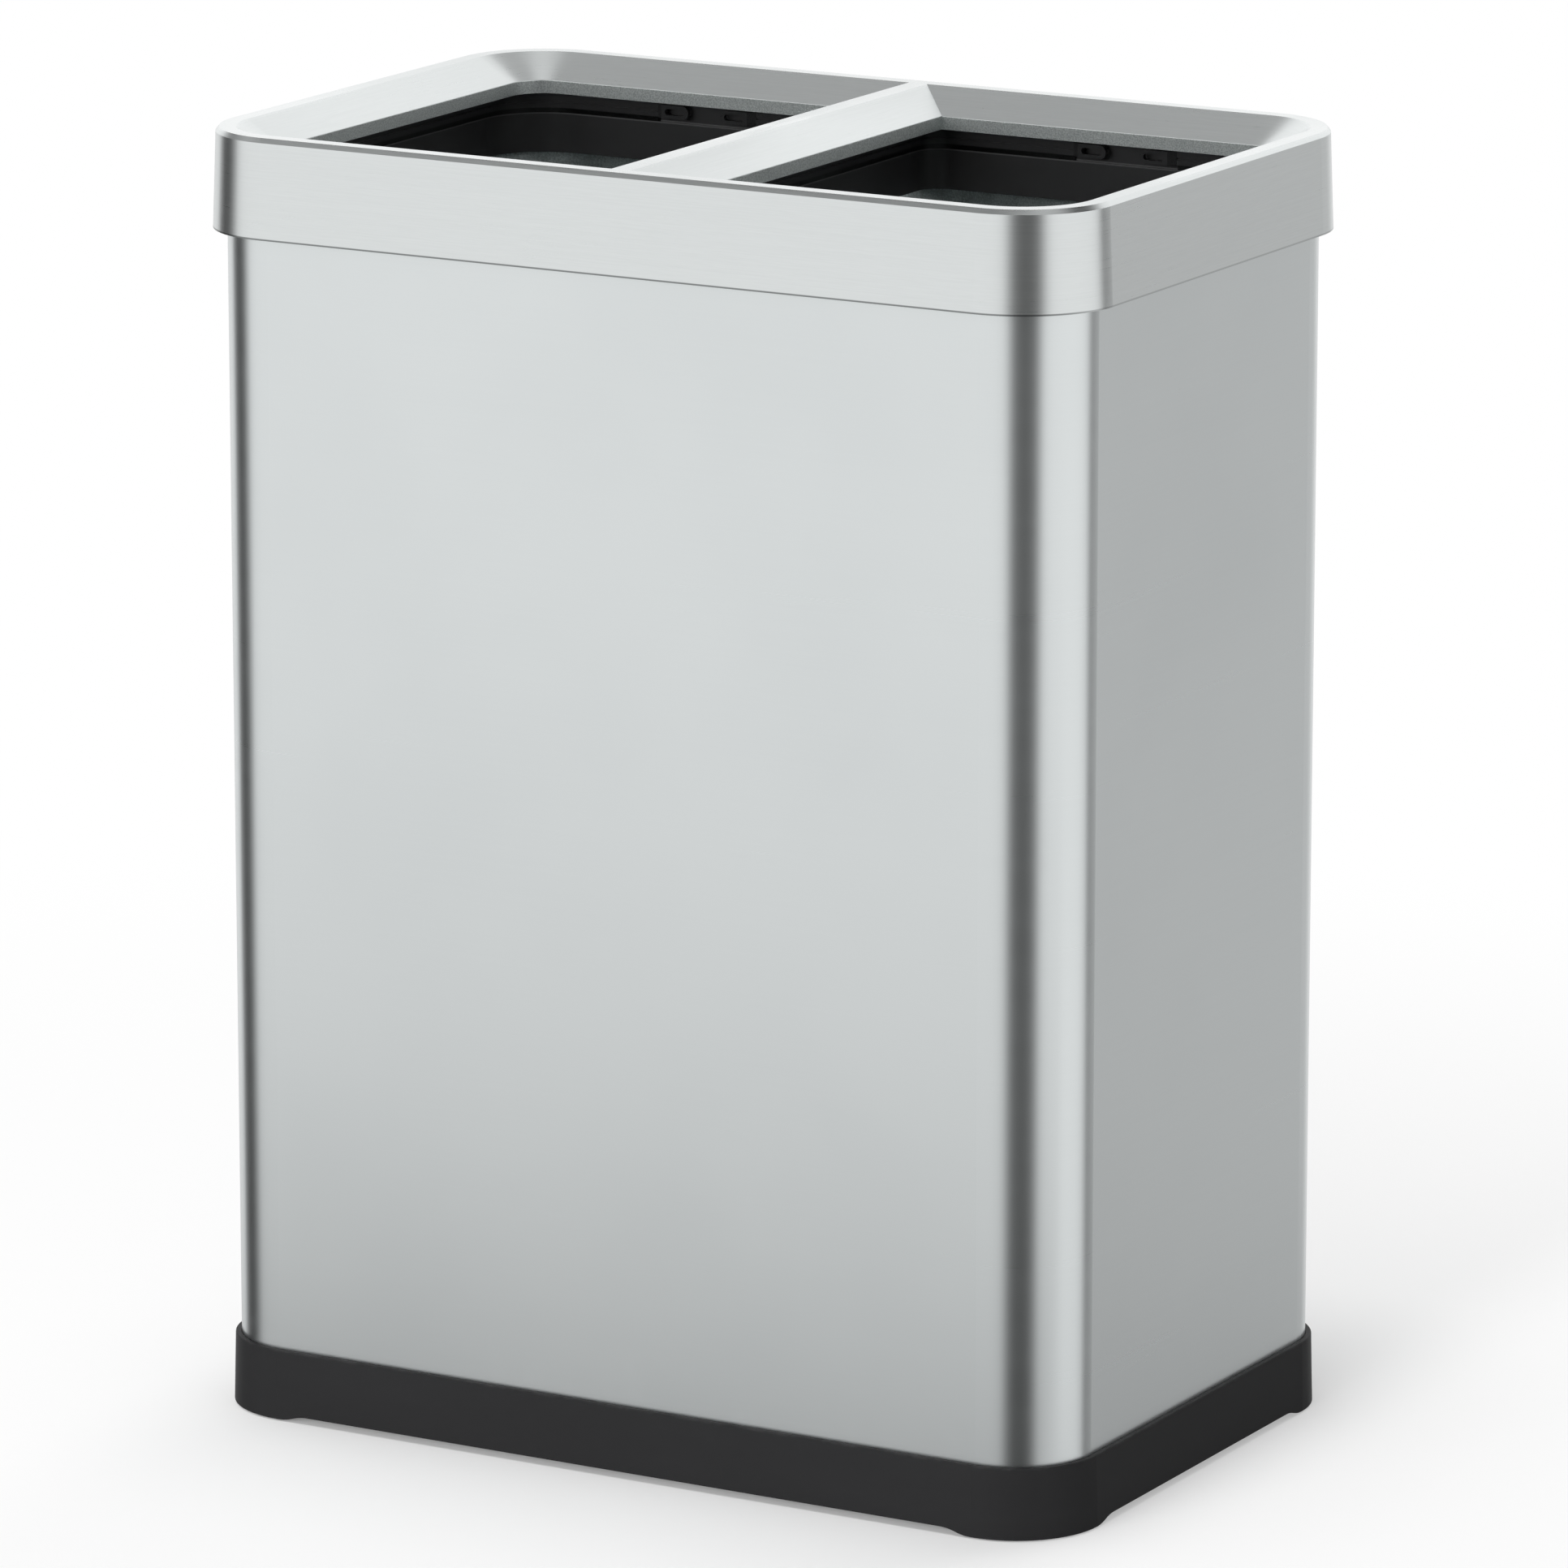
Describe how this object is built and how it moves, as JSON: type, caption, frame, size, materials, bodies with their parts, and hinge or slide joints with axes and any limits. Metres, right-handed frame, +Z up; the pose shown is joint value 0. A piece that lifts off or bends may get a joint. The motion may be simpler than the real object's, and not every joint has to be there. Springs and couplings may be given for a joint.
{
  "type": "double recycling bin",
  "caption": "Free-standing stainless bin with two open mouths in a lift-off rim, a black collar and split ring for the bag under each mouth, and a black footed base.",
  "frame": {"origin": "on the floor, under the middle of the bin", "axes": "+Z up, +X along the bin's width to the right as seen from the front, the front faces -Y"},
  "size_m": [0.519, 0.3346, 0.685],
  "materials": {
    "body_steel": "vertical satin brush",
    "rim_steel": "horizontal satin brush",
    "galvanised": "dull zinc",
    "fastener": "plated",
    "base_plastic": "satin moulded black",
    "collar_plastic": "satin moulded black",
    "ring_plastic": "satin moulded black",
    "pad_rubber": "matt rubber"
  },
  "bodies": {
    "shell": {"body_shell": "body_steel", "bottom_plate": "galvanised", "base_moulding": "base_plastic", "base_screws": "fastener", "foot_pad_back_right": "pad_rubber", "foot_pad_back_left": "pad_rubber", "foot_pad_front_right": "pad_rubber", "foot_pad_front_left": "pad_rubber", "centre_bridge": "galvanised", "bridge_rivets": "fastener", "collar_rivets": "fastener", "bag_collar_right": "collar_plastic", "bag_collar_left": "collar_plastic"},
    "rim": {"rim_frame": "rim_steel", "rim_divider": "rim_steel"},
    "ring_right": {"bag_ring_right": "ring_plastic"},
    "ring_left": {"bag_ring_left": "ring_plastic"}
  },
  "joints": [
    {"name": "rim_lift", "type": "slide", "parent": "shell", "child": "rim", "axis": [0, 0, 1], "range_m": [0, 0.15]},
    {"name": "ring_lift_right", "type": "slide", "parent": "shell", "child": "ring_right", "axis": [0, 0, 1], "range_m": [0, 0.01]},
    {"name": "ring_lift_left", "type": "slide", "parent": "shell", "child": "ring_left", "axis": [0, 0, 1], "range_m": [0, 0.01]}
  ]
}
